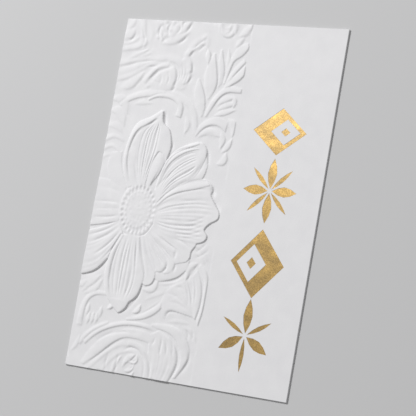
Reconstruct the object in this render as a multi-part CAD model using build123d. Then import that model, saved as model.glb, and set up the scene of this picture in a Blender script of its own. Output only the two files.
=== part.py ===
from build123d import *
from collections import namedtuple
from math import cos, pi, sin
import os

# The card: one thick sheet of cotton board, lying face up with its long side along Y. Millimetres.
card_width = 105.0
card_length = 148.0
card_thickness = 0.8

# The embossed panel runs off the left, top and bottom edges of the card.
# The ornament is drawn from the card's top left corner, on a sheet of the drawing's size.
panel_width = 62.0
drawing_width = 62.0
drawing_length = 148.0
overrun = 3.0

# How far the ornament stands above the face, and how its forms begin and end.
petal_relief = 0.56
back_petal_relief = 0.4
scroll_relief = 0.36
ground_relief = 0.26
shoulder = 0.6
end_relief = 0.5
vein_depth = 0.1
root_depth = 0.2
petal_tip_width = 1.4
leaf_tip_width = 0.5

# How many lengths a form is made of.
petal_stations = 6
leaf_stations = 4
short_leaf_stations = 3
short_leaf_length = 9.0
stem_stations = 5

# The dies push the back up under the broad forms, less far and inside their outlines.
hollow_share = 0.65
hollow_inset = 0.55
hollow_least_width = 5.0
hollow_crown_share = 0.4

# The eye of the flower: a beaded oval rim round a low dome.
eye_x = 22.2
eye_y = 80.4
eye_width = 17.8
eye_length = 21.8
rim_relief = 0.42
dome_share = 0.66
dome_relief = 0.56
dome_levels = 2
bead_count = 20
bead_start = 0.78
bead_end = 0.97
bead_inner_width = 1.1
bead_outer_width = 1.7
bead_relief = 0.6

# The gold foil ornaments lie in one column, pressed a little below the face.
foil_thickness = 0.04
foil_depth = 0.12
foil_clearance = 0.05
column_middle = 82.0
column_width = 24.0
heavy_stroke = 4.0
thin_stroke = 1.3
thin_leaf_stroke = 1.8
foil_leaf_sides = 4
whorl_gap = 1.0

# Each figure's middle, from the card's top edge, and its length.
upper_lozenge_place = 43.0
upper_lozenge_length = 19.0
eight_leaf_whorl_place = 67.0
eight_leaf_whorl_length = 26.0
lower_lozenge_place = 96.3
lower_lozenge_length = 27.4
six_leaf_whorl_place = 125.0
six_leaf_whorl_length = 29.0

Form = namedtuple("Form", "stations veins walled smooth tip tip_shift")


def spot(x, y, z=0.0):
    """A point of the ornament's drawing, on the card."""
    across = x * panel_width / drawing_width - card_width / 2
    along = card_length / 2 - y * card_length / drawing_length
    return Vector(across, along, z)


def line(points):
    """A smooth line through drawn points."""
    places = [spot(x, y) for x, y in points]
    if len(places) == 2:
        return Edge.make_line(*places)
    return Edge.make_spline(places)


def steps(count):
    """Even steps from 0 to 1."""
    return [i / count for i in range(count + 1)]


def kept_apart(start, end, width):
    """Two places, moved apart if they are nearer than the width."""
    if (end - start).length > width:
        return start, end
    middle = (start + end) * 0.5
    half = (end - start).normalized() * (width / 2)
    return middle - half, middle + half


def petal(left, right, crown, veins=0, tip=None, tip_shift=None):
    """A broad form between two edges drawn from base to tip, with its end trimmed along the tip's line."""
    left = line(left)
    right = line(right)
    stations = []
    for t in steps(petal_stations):
        start, end = kept_apart(left @ t, right @ t, petal_tip_width)
        rise = end_relief + (1 - end_relief) * sin(pi * min(0.5, t))
        if not tip:
            rise *= end_relief + (1 - end_relief) * sin(pi * max(0.5, t))
        stations.append((start, end, crown * rise))
    return Form(stations, veins, True, True, tip, tip_shift)


def leaf(spine, width, crown, veins=0):
    """A narrow form that closes almost to a point at both ends, and falls to the face there."""
    spine = line(spine)
    stations = []
    for t in steps(short_leaf_stations if spine.length < short_leaf_length else leaf_stations):
        share = sin(pi * t) + (1 - sin(pi * t)) * leaf_tip_width / width
        across = (spine % t).rotate(Axis.Z, 90) * (share * width / 2)
        stations.append((spine @ t + across, spine @ t - across, crown * share))
    return Form(stations, veins, False, False, None, None)


def stem(spine, start_width, end_width, crown, veins=0, walled=False, count=stem_stations):
    """A band whose width runs evenly from its start to its end."""
    spine = line(spine)
    stations = []
    for t in steps(count):
        half = (start_width + (end_width - start_width) * t) / 2
        across = (spine % t).rotate(Axis.Z, 90) * half
        stations.append((spine @ t + across, spine @ t - across, crown))
    return Form(stations, veins, walled, False, None, None)


def section(start, end, profile):
    """An upright outline across a form: each pair is a share of the width and a height."""
    points = [start + (end - start) * share + Vector(0, 0, height) for share, height in profile]
    return Wire.make_polygon(points, close=True)


def beyond(tip, shift, inset):
    """What lies past a petal's scalloped end."""
    away = Vector(shift[0], -shift[1])
    edge = [spot(x, y, -card_thickness) - away.normalized() * inset for x, y in tip]
    outline = Face(Wire.make_polygon(edge + [edge[-1] + away, edge[0] + away], close=True))
    return Solid.extrude(outline, Vector(0, 0, 4 * card_thickness))


def raised(form):
    """The form on the face, domed, with its veins pressed in between ribs."""
    count = 2 * form.veins + 2
    sections = []
    for start, end, crown in form.stations:
        edge = crown * shoulder if form.walled else 0
        profile = [(0, card_thickness - root_depth)]
        for i, share in enumerate(steps(count)):
            dome = edge + (crown - edge) * (1 - (2 * share - 1) ** 2) ** 0.5
            is_vein = i % 2 == 0 and 0 < i < count
            profile.append((share, card_thickness + dome - (vein_depth if is_vein else 0)))
        profile.append((1, card_thickness - root_depth))
        sections.append(section(start, end, profile))
    solid = Solid.make_loft(sections, ruled=not form.smooth)
    if form.tip:
        solid -= beyond(form.tip, form.tip_shift, 0)
    return solid


def hollow(form):
    """The same form pressed up from the back, inside the raised outline, with its end cut straight."""
    sections = []
    for start, end, crown in form.stations:
        width = (end - start).length
        if width < hollow_least_width:
            continue
        inset = hollow_inset / width
        flat = (1 - hollow_crown_share) / 2
        rise = crown * hollow_share
        profile = [(inset, -root_depth), (flat, rise), (1 - flat, rise), (1 - inset, -root_depth)]
        sections.append(section(start, end, profile))
    if len(sections) < 3:
        return None
    solid = Solid.make_loft(sections, ruled=True)
    if form.tip:
        solid -= beyond([form.tip[0], form.tip[-1]], form.tip_shift, hollow_inset)
    return solid


def flower_petals():
    """The open flower, its back petals first."""
    return [
        petal(
            [(14, 73), (7, 70), (3.4, 64), (4, 57.6)],
            [(14.4, 71.4), (12, 67), (9.9, 62), (9.2, 57)],
            ground_relief,
            1,
        ),
        petal(
            [(14.8, 73), (8, 70), (-overrun, 69)],
            [(13.6, 78), (7, 76.8), (-overrun, 76)],
            ground_relief,
            1,
        ),
        petal(
            [(31, 88), (42, 94), (54, 99)],
            [(27, 91), (31, 100), (39, 110)],
            back_petal_relief,
            2,
            [
                (53, 96), (51, 98.4), (50.6, 101.4), (49.6, 103.2), (46.6, 105.8), (42.4, 107.6),
                (38.6, 108.4), (35, 108),
            ],
            (12, 14),
        ),
        petal(
            [(13.6, 77), (6, 76.2), (-overrun, 76.2)],
            [(13.6, 85.6), (6, 88), (-overrun, 89.6)],
            back_petal_relief,
            2,
        ),
        petal(
            [(30.6, 86.8), (38, 90.2), (45, 91.3), (58, 92)],
            [(27.8, 90.6), (30.6, 97.6), (35, 103), (41, 108)],
            petal_relief,
            3,
            [
                (54.6, 90), (52.3, 93), (51, 95.4), (50.9, 97.6), (49.4, 99.3), (47, 100.2), (44.5, 100.6),
                (44.2, 102.4), (42.8, 104.2), (40.6, 105), (34.6, 104.2),
            ],
            (12, 14),
        ),
        petal(
            [(13.6, 86), (8.6, 88.4), (3, 90.4), (-overrun, 92)],
            [(17.2, 91.4), (14.8, 97), (11, 102.8), (5.8, 107.8), (-overrun, 110.4)],
            petal_relief,
            3,
        ),
        petal(
            [(25.4, 91.4), (28.4, 100), (31.4, 110.6)],
            [(27.8, 90.8), (33, 98), (36.2, 108)],
            petal_relief,
            1,
        ),
        petal(
            [(31, 76.8), (35.6, 71.8), (41.6, 68.2), (50, 65.4), (62, 63.6)],
            [(31, 86.2), (38, 89.6), (46, 90.9), (62, 91.6)],
            petal_relief,
            5,
            [
                (52.2, 64), (54.8, 66.8), (55.8, 69.4), (55.6, 71), (57.6, 74), (60, 77), (61, 79),
                (60.4, 81), (57, 83.2), (55.4, 85.6), (57, 88.4), (55.8, 90.6), (53.4, 92.4),
            ],
            (12, 0),
        ),
        petal(
            [(28.4, 72), (29.8, 65.4), (32.2, 58.4), (37, 53.2), (44, 50.8), (54, 48.6)],
            [(31.2, 76.6), (35.8, 71.6), (41, 67.6), (48, 64.6), (56, 62)],
            petal_relief,
            3,
            [(44.6, 49), (48, 50.7), (50.1, 53.2), (50.3, 55.8), (49, 58.8), (48.4, 61.8), (46.4, 66.4)],
            (10, -4),
        ),
        petal(
            [(16.2, 91.2), (13, 98), (11.6, 105), (12.2, 112), (15, 118), (21.2, 123.6)],
            [(25.8, 91.4), (28.6, 99), (30.7, 106.6), (30, 112.8), (27.4, 117.4), (22.4, 123.6)],
            petal_relief,
            5,
        ),
        petal(
            [(15.4, 71.6), (12.2, 66), (10.7, 59), (11.6, 51), (14.6, 44.8), (19.4, 41.9), (25, 38.3)],
            [(25, 70.4), (29, 65.4), (32.2, 59.4), (33.4, 54), (32.2, 49), (28.8, 44.4), (26, 38.5)],
            petal_relief,
            5,
        ),
        leaf([(26.4, 71), (28.4, 63), (29, 55)], 4.0, petal_relief + vein_depth),
    ]


def top_scrolls():
    """The scrolling leaves over the flower, at the top left."""
    return [
        stem([(7.6, -overrun), (9.6, 6), (8.4, 11), (3.6, 12.8), (-overrun, 13.3)], 2.0, 2.0, scroll_relief),
        leaf([(-overrun, 8), (2, 7.2), (4.6, 4.2)], 4.6, scroll_relief),
        leaf([(1.4, 18.6), (7, 15.4), (14.5, 11.6)], 2.4, scroll_relief),
        stem([(-overrun, 23.5), (6, 20), (15, 16.8), (25, 15.6), (31, 18.2)], 3.6, 2.6, scroll_relief, 1),
        stem([(-overrun, 28.6), (7, 25), (14, 20.8), (21, 19.2)], 4.0, 1.6, ground_relief),
        leaf([(27, 18), (31.4, 23), (28.4, 30)], 3.2, scroll_relief),
        leaf([(16.6, 29.4), (22, 25), (28.4, 21)], 7.0, scroll_relief, 2),
        leaf([(32.4, 15.4), (34.6, 10.6), (40.3, 5)], 3.6, scroll_relief),
        leaf([(30.4, 18.6), (33.4, 17.4), (36.2, 19)], 4.0, scroll_relief),
        leaf([(31, 23.6), (33.4, 23.2), (35.8, 24)], 3.2, ground_relief),
        leaf([(21, 6.8), (26.4, 3.9), (33, -1.6)], 4.4, scroll_relief),
        leaf([(18.6, 10), (25.2, 8.2), (32, 4.4)], 3.2, scroll_relief),
        stem([(46, -overrun), (47, 3.6), (50.4, 5.4), (53.4, 2.4), (53, -overrun)], 1.6, 1.6, scroll_relief),
        leaf([(55.6, 5.4), (58.8, 3), (61.7, -0.8)], 3.0, scroll_relief),
    ]


def branch():
    """The stem that arches over the flower, and the buds under it."""
    return [
        stem([(4.4, 36.8), (9.5, 33.4), (17, 31.6), (26, 31)], 2.4, 2.8, scroll_relief),
        stem([(25.4, 31.2), (32, 31.9), (38.4, 36), (42, 41.4), (43, 47)], 2.8, 1.8, scroll_relief),
        leaf([(22, 33.8), (30.6, 34), (33.8, 40.2)], 2.6, scroll_relief),
        leaf([(37.4, 40), (38.8, 43), (37.8, 47)], 2.2, ground_relief),
        leaf([(-overrun, 36.2), (4.5, 35.8), (8.5, 41)], 4.0, scroll_relief),
        leaf([(-overrun, 42.2), (4, 41.6), (7.8, 47)], 4.0, ground_relief, 1),
        stem([(-overrun, 53.4), (4, 51.4), (8.6, 53)], 1.8, 1.2, ground_relief),
    ]


def palmette():
    """The spray of leaves at the upper right of the panel."""
    return [
        leaf([(44.9, 39.4), (42.6, 32), (40.2, 24)], 4.4, scroll_relief, 1),
        leaf([(46.4, 32), (46.4, 22), (45.4, 12.8)], 5.6, scroll_relief, 1),
        leaf([(50.7, 26.6), (50.5, 19), (48.5, 11.4)], 2.2, scroll_relief),
        leaf([(52.6, 25.6), (55, 15.8), (61, 8.8)], 3.4, scroll_relief),
        leaf([(53.2, 26.8), (56.6, 20.2), (60.6, 15.2)], 2.2, scroll_relief),
        leaf([(52.3, 28.9), (56.6, 24), (61.8, 18.8)], 2.6, scroll_relief),
        stem([(46.4, 39.6), (49.6, 33), (54, 28.6), (61.8, 27.8)], 1.6, 2.0, scroll_relief),
        leaf([(51, 34.4), (54.4, 31.5), (59, 30.8)], 2.4, ground_relief),
        leaf([(50.4, 38.4), (55.2, 36.2), (60.4, 34.6)], 2.6, ground_relief),
        leaf([(43.4, 47.2), (48.6, 41.4), (57.6, 43)], 4.0, scroll_relief, 1),
        leaf([(44.6, 48.2), (50, 45.8), (56.4, 48.4)], 2.8, ground_relief),
        leaf([(57.4, 40), (60.6, 42.4), (61, 47.4)], 2.8, scroll_relief),
        leaf([(56, 53.4), (58.8, 51.2), (60.8, 47.8)], 2.4, ground_relief),
        leaf([(59, 52), (58.8, 55.6), (55.6, 58.4)], 2.8, scroll_relief),
    ]


def lower_leaves():
    """The leaves between the flower and the great scroll below it."""
    return [
        leaf([(-overrun, 114.6), (4, 113.2), (10.2, 108.8)], 3.0, ground_relief),
        stem([(13.2, 117.2), (8, 117.6), (4.9, 122), (3.9, 131.5)], 1.4, 2.6, scroll_relief),
        leaf([(8.2, 131), (9.4, 127.6), (9.6, 123.8)], 2.2, ground_relief),
        leaf([(25.8, 125.8), (35.4, 121.8), (43.3, 115)], 3.8, scroll_relief, 1),
        leaf([(43.6, 123.2), (44.6, 114), (52, 107)], 5.6, ground_relief, 1),
        leaf([(54.4, 103.6), (57.2, 111), (57.8, 121.6)], 3.8, scroll_relief, 1),
        leaf([(56.3, 100), (60.8, 109), (59.8, 123.8)], 2.0, scroll_relief),
        leaf([(55, 99.4), (52.2, 102), (50.8, 107)], 2.6, scroll_relief),
    ]


def great_scroll():
    """The scroll that runs off the bottom edge, round a small rose."""
    return [
        stem([(5.4, 139.6), (12, 133.2), (19, 129.4), (26, 127.6), (42, 128.2)], 2.0, 1.8, scroll_relief),
        leaf([(8.4, 146.4), (19.6, 134.8), (40.4, 132.2)], 4.6, scroll_relief, 1),
        stem(
            [(13, 151), (17.4, 143.6), (24.6, 138), (33, 136.8), (38.6, 141), (40, 151)],
            3.6,
            2.6,
            scroll_relief,
            1,
        ),
        leaf([(28.2, 145.4), (30, 141.6), (33.8, 139.8)], 2.4, scroll_relief),
        leaf([(30, 148.6), (32.6, 146.4), (34.4, 143)], 2.4, ground_relief),
        petal(
            [(40.8, 131.6), (42.6, 136), (43.6, 142), (44, 151)],
            [(42.6, 128.6), (49.2, 131.8), (53, 138), (50, 151)],
            scroll_relief,
            2,
        ),
        leaf([(42, 126.7), (55, 130.8), (55, 147)], 3.6, scroll_relief, 1),
    ]


def oval(share, z):
    """A level oval outline round the middle of the eye."""
    rim = Face(Wire.make_ellipse(eye_width / 2 * share, eye_length / 2 * share))
    return rim.moved(Location(spot(eye_x, eye_y, z))).outer_wire()


def eye_rim():
    """The flat oval that carries the beads and the dome."""
    foot = oval(1, card_thickness - root_depth)
    return Solid.make_loft([foot, oval(1, card_thickness + rim_relief)], ruled=True)


def dome():
    """The low dome in the middle of the eye, in rising rings."""
    rings = [oval(dome_share, card_thickness - root_depth)]
    for t in steps(dome_levels)[:-1]:
        turn = pi / 2 * t
        rings.append(oval(dome_share * cos(turn), card_thickness + dome_relief * (1 + sin(turn)) / 2))
    return Solid.make_loft(rings, ruled=True)


def beads():
    """The ring of small beads on the rim, each one pointing at the middle."""
    ring = []
    for i in range(bead_count):
        turn = 2 * pi * (i + 0.5) / bead_count
        out = (eye_width / 2 * cos(turn), eye_length / 2 * sin(turn))
        spine = [(eye_x + out[0] * share, eye_y + out[1] * share) for share in (bead_start, bead_end)]
        ring.append(stem(spine, bead_inner_width, bead_outer_width, bead_relief, walled=True, count=1))
    return ring


def eye_hollow():
    """The dished oval under the eye."""
    foot = oval(1 - 2 * hollow_inset / eye_width, -root_depth)
    return Solid.make_loft([foot, oval(dome_share, rim_relief * hollow_share)], ruled=True)


def foil_spot(x, y):
    """A point of the foil column, measured from its middle line and the card's top edge."""
    return Vector(column_middle - card_width / 2 + x, card_length / 2 - y)


def lozenge(x, y, width, length):
    """A diamond of foil."""
    corners = [(width / 2, 0), (0, length / 2), (-width / 2, 0), (0, -length / 2)]
    places = [foil_spot(x + across, y + along) for across, along in corners]
    return Face(Wire.make_polygon(places, close=True))


def foil_leaf(y, turn, start, end, stroke):
    """A pointed leaf of foil between two distances from a middle, in the turn's direction."""
    out = Vector(cos(turn), sin(turn))
    across = Vector(-sin(turn), cos(turn)) * (stroke / 2)
    shares = steps(foil_leaf_sides)
    one_side = [foil_spot(0, y) + out * (start + (end - start) * t) + across * sin(pi * t) for t in shares]
    other_side = [foil_spot(0, y) + out * (start + (end - start) * t) - across * sin(pi * t) for t in shares]
    return Face(Wire.make_polygon(one_side + other_side[-2:0:-1], close=True))


def lozenge_frame(y, length, lean):
    """A diamond frame with two heavy sides and two thin ones, round a smaller diamond."""
    inner_width = column_width - 2 * (heavy_stroke + thin_stroke)
    inner_length = length * inner_width / column_width
    inner_x = lean * (heavy_stroke - thin_stroke)
    outer = lozenge(0, y, column_width, length)
    window = lozenge(inner_x, y, inner_width, inner_length)
    middle = lozenge(inner_x, y, heavy_stroke, heavy_stroke * length / column_width)
    return Sketch([outer - window, middle])


def whorl(y, length, count):
    """Pointed leaves round a middle, heavy and thin by turns."""
    leaves = []
    for i in range(count):
        turn = pi / 2 + 2 * pi * i / count
        reach = 1 / ((cos(turn) * 2 / column_width) ** 2 + (sin(turn) * 2 / length) ** 2) ** 0.5
        leaves.append(foil_leaf(y, turn, whorl_gap, reach, thin_leaf_stroke if i % 2 else heavy_stroke))
    return Sketch(leaves)


def foil_figures():
    """The outlines of the foil figures by name, from the top of the column down."""
    return {
        "foil_upper_lozenge": lozenge_frame(upper_lozenge_place, upper_lozenge_length, 1),
        "foil_eight_leaf_whorl": whorl(eight_leaf_whorl_place, eight_leaf_whorl_length, 8),
        "foil_lower_lozenge": lozenge_frame(lower_lozenge_place, lower_lozenge_length, -1),
        "foil_six_leaf_whorl": whorl(six_leaf_whorl_place, six_leaf_whorl_length, 6),
    }


def standing(sketch, height):
    """A foil figure's outline raised from the floor of its recess."""
    floor = sketch.moved(Location((0, 0, card_thickness - foil_depth)))
    return extrude(floor, height, dir=(0, 0, 1))


def card_block(bottom, top):
    """A block with the card's outline."""
    corner = Plane((-card_width / 2, -card_length / 2, bottom))
    return Solid.make_box(card_width, card_length, top - bottom, corner)


def embossed_card():
    """The sheet with the ornament raised on its face, hollow behind, and the foil's recesses."""
    scrolls = top_scrolls() + branch() + palmette() + lower_leaves() + great_scroll()
    forms = scrolls + flower_petals()
    hollows = [hollow(form) for form in forms]
    sheet = card_block(0, card_thickness)
    sheet = sheet.fuse(eye_rim(), dome(), *[raised(form) for form in forms + beads()])
    sheet = sheet.cut(eye_hollow(), *[solid for solid in hollows if solid])
    sheet = sheet.intersect(card_block(-card_thickness, 4 * card_thickness)).solid()
    for sketch in foil_figures().values():
        recess = offset(sketch, foil_clearance, kind=Kind.INTERSECTION)
        sheet = (sheet - standing(recess, 2 * foil_depth)).solid()
    return sheet


os.makedirs("parts", exist_ok=True)
export_step(embossed_card(), "parts/card.step")
for name, sketch in foil_figures().items():
    export_step(standing(sketch, foil_thickness), "parts/" + name + ".step")
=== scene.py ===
from math import cos, pi, radians, sin

import bpy
import numpy as np
from mathutils import Matrix, Vector
from mathutils.geometry import delaunay_2d_cdt


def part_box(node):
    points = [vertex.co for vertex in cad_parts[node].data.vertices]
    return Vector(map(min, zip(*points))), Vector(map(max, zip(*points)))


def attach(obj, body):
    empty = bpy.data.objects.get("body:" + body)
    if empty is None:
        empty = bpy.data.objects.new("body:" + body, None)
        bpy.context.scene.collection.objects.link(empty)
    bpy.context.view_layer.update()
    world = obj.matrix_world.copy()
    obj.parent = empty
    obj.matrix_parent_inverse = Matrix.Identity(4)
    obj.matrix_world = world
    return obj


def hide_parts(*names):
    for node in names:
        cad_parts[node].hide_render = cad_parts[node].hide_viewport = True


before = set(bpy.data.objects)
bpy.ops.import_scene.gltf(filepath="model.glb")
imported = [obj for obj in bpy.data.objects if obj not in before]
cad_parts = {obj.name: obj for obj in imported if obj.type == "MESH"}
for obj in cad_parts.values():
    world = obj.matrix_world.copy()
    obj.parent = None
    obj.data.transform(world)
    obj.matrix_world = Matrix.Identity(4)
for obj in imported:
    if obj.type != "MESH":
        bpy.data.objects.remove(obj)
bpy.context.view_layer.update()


# The card is one sheet of thick uncoated cotton board, cut square, that lies face up on a table.
# A pair of steel dies presses a flower and scrolling leaves up into the left of its face, and the
# same forms are left hollow, softer and less deep, in its back.
millimetre = 0.001
card_low, card_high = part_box("card")
card_width = (card_high[0] - card_low[0]) / millimetre
card_length = (card_high[1] - card_low[1]) / millimetre
board_thickness = 0.8
panel_width = 62.0

# The relief is a height for each point of a fine lattice over the embossed panel.
lattice_columns = 344
lattice_rows = 824
step_across = panel_width / lattice_columns
step_along = card_length / lattice_rows
relief = np.zeros((lattice_rows + 1, lattice_columns + 1))


def smooth_line(points, count):
    """A natural cubic line through drawn points, as evenly spread places along it."""
    points = np.array(points, float)
    knots = np.concatenate([[0], np.cumsum(np.sqrt(np.linalg.norm(np.diff(points, axis=0), axis=1)))])
    gaps = np.diff(knots)
    size = len(points)
    system = np.eye(size)
    bend = np.zeros((size, 2))
    for i in range(1, size - 1):
        system[i, i - 1:i + 2] = gaps[i - 1], 2 * (gaps[i - 1] + gaps[i]), gaps[i]
        bend[i] = 6 * ((points[i + 1] - points[i]) / gaps[i] - (points[i] - points[i - 1]) / gaps[i - 1])
    bend = np.linalg.solve(system, bend)
    places = np.linspace(0, knots[-1], count)
    span = np.clip(np.searchsorted(knots, places, side="right") - 1, 0, size - 2)
    gap = gaps[span][:, None]
    before = knots[span + 1][:, None] - places[:, None]
    after = places[:, None] - knots[span][:, None]
    curved = (bend[span] * before ** 3 + bend[span + 1] * after ** 3) / (6 * gap)
    start = (points[span] / gap - bend[span] * gap / 6) * before
    end = (points[span + 1] / gap - bend[span + 1] * gap / 6) * after
    return curved + start + end


def eased(value):
    """Nought below 0, one above 1 and a smooth step between."""
    value = np.clip(value, 0, 1)
    return value * value * (3 - 2 * value)


def blurred(field, radius):
    """The field with every edge softened over a radius in millimetres."""
    for axis, step in ((0, step_along), (1, step_across)):
        reach = int(3 * radius / step) + 1
        weights = np.exp(-0.5 * (np.arange(-reach, reach + 1) * step / radius) ** 2)
        weights /= weights.sum()
        padding = [(reach, reach) if axis == i else (0, 0) for i in range(2)]
        padded = np.pad(field, padding, mode="edge")
        length = field.shape[axis]
        field = sum(w * np.take(padded, range(i, i + length), axis) for i, w in enumerate(weights))
    return field


line_places = 240
full_height = 0.66
shaded_side = np.array([0.66, 0.75])
lean = 0.4
tiny = 1e-6

# A form is sampled this many times a lattice step, and at least so often, so that it leaves no gaps.
samples_across = 3
samples_along = 3.4
fewest_across = 12
fewest_along = 20


def press(left, right, height, tip=None):
    """Presses one form into the relief, between two edges and out to its tip.

    Each form leans: it stands higher on its lower right side, as leaves that overlap do."""
    span = np.linalg.norm(right - left, axis=1).max()
    length = np.linalg.norm(np.diff((left + right) / 2, axis=0), axis=1).sum()
    shares = np.linspace(0, 1, int(span / step_across * samples_across) + fewest_across)
    along = np.linspace(0, 1, int(length / step_along * samples_along) + fewest_along)
    place = along * (len(left) - 1)
    low = np.clip(place.astype(int), 0, len(left) - 2)
    part = (place - low)[:, None]
    start = left[low] * (1 - part) + left[low + 1] * part
    end = right[low] * (1 - part) + right[low + 1] * part
    facing = (end - start) @ shaded_side / np.maximum(np.linalg.norm(end - start, axis=1), tiny)
    across, forward = np.meshgrid(shares, along)
    spots = start[:, None] * (1 - across[..., None]) + end[:, None] * across[..., None]
    if tip is not None:
        edge = smooth_line(tip, len(shares))
        spots = spots + forward[..., None] ** 3 * (edge - spots[-1])
    rises = height(across, forward) * (1 + lean * facing[:, None] * (2 * across - 1))
    column = np.rint(spots[..., 0] / step_across).astype(int)
    row = np.rint(spots[..., 1] / step_along).astype(int)
    inside = (column >= 0) & (column <= lattice_columns) & (row >= 0) & (row <= lattice_rows)
    total = np.zeros_like(relief)
    count = np.zeros_like(relief)
    np.add.at(total, (row[inside], column[inside]), rises[inside])
    np.add.at(count, (row[inside], column[inside]), 1)
    touched = count > 0
    relief[touched] = total[touched] / count[touched]


# Veins waver and differ in depth as hand-cut ones do, and fade out at a form's sides and tip.
slow_waver = 0.9
quick_waver = 0.6
usual_cut = 0.75
furrow_sharpness = 1.5
side_fade = 5
tip_fade = 6
base_rise = 3


def form_height(crown, veins, vein_depth, shoulder, start, end, veins_from=0.25, sweep=0):
    """A form's height in millimetres, by the share across it and along it.

    Its crown, and the depth of its veins, are shares of the full height."""
    def height(across, forward):
        side = np.abs(2 * across - 1)
        rise = crown * (shoulder + (1 - shoulder) * np.sqrt(np.clip(1 - side ** 2, 0, 1)))
        if veins:
            turn = 2 * pi * veins * across * (1 + sweep * forward ** 2)
            slow = slow_waver * np.sin(11 * across + 2.6 * forward)
            turn += slow + quick_waver * np.sin(25 * across - 4 * forward)
            uneven = usual_cut + 0.3 * np.sin(17 * across + 1) + 0.2 * np.sin(5 * forward + 31 * across)
            furrow = (0.5 + 0.5 * np.cos(turn)) ** furrow_sharpness * eased(forward / veins_from) * uneven
            rise -= vein_depth * furrow * eased((1 - side) * side_fade) * eased((1 - forward) * tip_fade)
        rise *= start + (1 - start) * eased(forward * base_rise)
        return full_height * rise * (end + (1 - end) * eased((1 - forward) * tip_fade))
    return height


def petal(left, right, crown, veins=0, vein_depth=0.12, shoulder=0.7, start=0.6, end=0.8, tip=None,
          veins_from=0.25, sweep=0):
    """A broad form between a left and a right edge, both drawn from its base to its tip."""
    left = smooth_line(left, line_places)
    right = smooth_line(right, line_places)
    height = form_height(crown, veins, vein_depth, shoulder, start, end, veins_from, sweep)
    press(left, right, height, tip)


def either_side(spine, half_widths):
    """The two edges that run beside a spine."""
    heading = np.gradient(spine, axis=0)
    heading /= np.linalg.norm(heading, axis=1)[:, None]
    sideways = np.stack([heading[:, 1], -heading[:, 0]], axis=1) * half_widths[:, None]
    return spine + sideways, spine - sideways


def leaf(spine, width, crown, veins=0, vein_depth=0.08, belly=0.5, shoulder=0.5, start=0.5, end=0.6):
    """A leaf along a spine, widest at its belly and pointed at both ends."""
    spine = smooth_line(spine, line_places)
    share = np.linspace(0, 1, line_places)
    turn = np.where(share < belly, share / belly / 2, 0.5 + (share - belly) / (1 - belly) / 2)
    left, right = either_side(spine, width / 2 * np.sin(pi * turn))
    press(left, right, form_height(crown, veins, vein_depth, shoulder, start, end))


def stem(spine, start_width, end_width, crown, veins=0, vein_depth=0.08, shoulder=0.5, start=0.7, end=0.7):
    """A rounded band whose width runs evenly from its start to its end."""
    spine = smooth_line(spine, line_places)
    left, right = either_side(spine, np.linspace(start_width, end_width, line_places) / 2)
    press(left, right, form_height(crown, veins, vein_depth, shoulder, start, end))


# A groove's depth follows this stretch of a half wave, so that its ends are shallow but still cut.
groove_places = 60
groove_start = 0.08
groove_run = 0.84


def groove(line, width, depth):
    """Sinks a fine line into what is already pressed, deepest at its middle."""
    line = smooth_line(line, groove_places)
    steps = np.array([step_across, step_along])
    low = np.maximum((line.min(axis=0) - 2 * width) / steps, 0).astype(int)
    last = (lattice_columns, lattice_rows)
    high = np.minimum((line.max(axis=0) + 2 * width) / steps, last).astype(int) + 1
    columns, rows = np.meshgrid(np.arange(low[0], high[0]), np.arange(low[1], high[1]))
    away = np.hypot(
        columns[..., None] * step_across - line[:, 0],
        rows[..., None] * step_along - line[:, 1],
    )
    fading = np.sin(pi * (groove_start + groove_run * away.argmin(axis=-1) / (groove_places - 1)))
    half_width = 0.5 * width
    relief[rows, columns] -= depth * fading * np.exp(-(away.min(axis=-1) / half_width) ** 2)


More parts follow.
